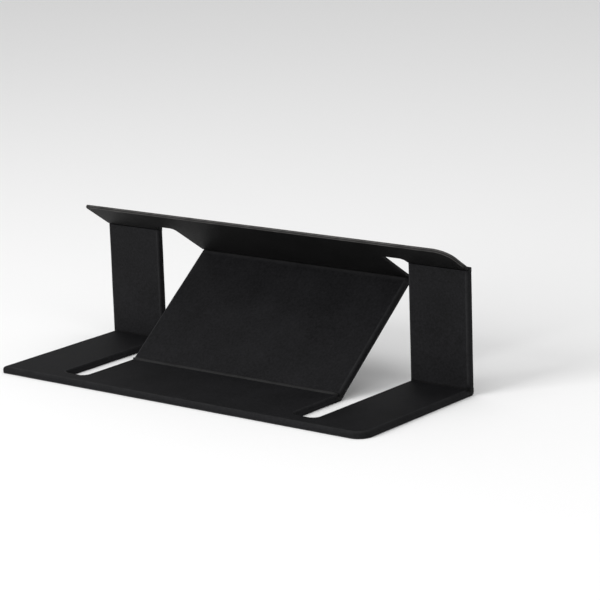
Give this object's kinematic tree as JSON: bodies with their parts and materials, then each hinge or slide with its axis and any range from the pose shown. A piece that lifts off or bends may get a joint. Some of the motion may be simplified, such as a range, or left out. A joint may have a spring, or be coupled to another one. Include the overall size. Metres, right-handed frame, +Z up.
{
  "type": "tablet stand",
  "caption": "Fold-flat tablet stand: a skin-wrapped board sheet folded into a base with tongue, upright legs, a diagonal centre panel and a sloping adhesive plate.",
  "frame": {"origin": "middle of the base plate's underside, on the table", "axes": "+X along the width, +Y from the base's near edge towards the legs, +Z up"},
  "size_m": [0.225, 0.1031, 0.072],
  "materials": {
    "cover_skin": "matte fine-grain synthetic leather",
    "fold_skin": "matte fine-grain synthetic leather, two layers pressed together",
    "stiffener_board": "glass-fibre laminate, matte",
    "adhesive": "smooth tacky film"
  },
  "bodies": {
    "base": {"base_frame_board": "stiffener_board", "base_tongue_board": "stiffener_board", "base_front_skin": "cover_skin", "base_back_skin": "cover_skin", "left_foot_fold": "fold_skin", "right_foot_fold": "fold_skin", "lower_centre_fold": "fold_skin"},
    "legs": {"left_leg_board": "stiffener_board", "left_leg_front_skin": "cover_skin", "left_leg_back_skin": "cover_skin", "right_leg_board": "stiffener_board", "right_leg_front_skin": "cover_skin", "right_leg_back_skin": "cover_skin", "left_top_fold": "fold_skin", "right_top_fold": "fold_skin"},
    "adhesive_plate": {"top_board": "stiffener_board", "top_front_skin": "cover_skin", "top_back_skin": "cover_skin", "adhesive_pad": "adhesive", "upper_centre_fold": "fold_skin"},
    "diagonal": {"diagonal_board": "stiffener_board", "diagonal_front_skin": "cover_skin", "diagonal_back_skin": "cover_skin"}
  },
  "joints": [
    {"name": "leg_fold", "type": "hinge", "parent": "base", "child": "legs", "pos_m": [0, 0.04156, 0.0016], "axis": [-1, 0, 0], "range_deg": [0, 88.5]},
    {"name": "top_fold", "type": "hinge", "parent": "legs", "child": "adhesive_plate", "pos_m": [0, 0.04309, 0.06], "axis": [-1, 0, 0], "range_deg": [0, 56.51]},
    {"name": "diagonal_fold", "type": "hinge", "parent": "base", "child": "diagonal", "pos_m": [0, 0.00405, 0.0016], "axis": [-1, 0, 0], "range_deg": [0, 38.15]}
  ],
  "couplings": [
    {"joint": "top_fold", "follows": "leg_fold", "ratio": 0.63842},
    {"joint": "diagonal_fold", "follows": "leg_fold", "ratio": 0.43102}
  ]
}
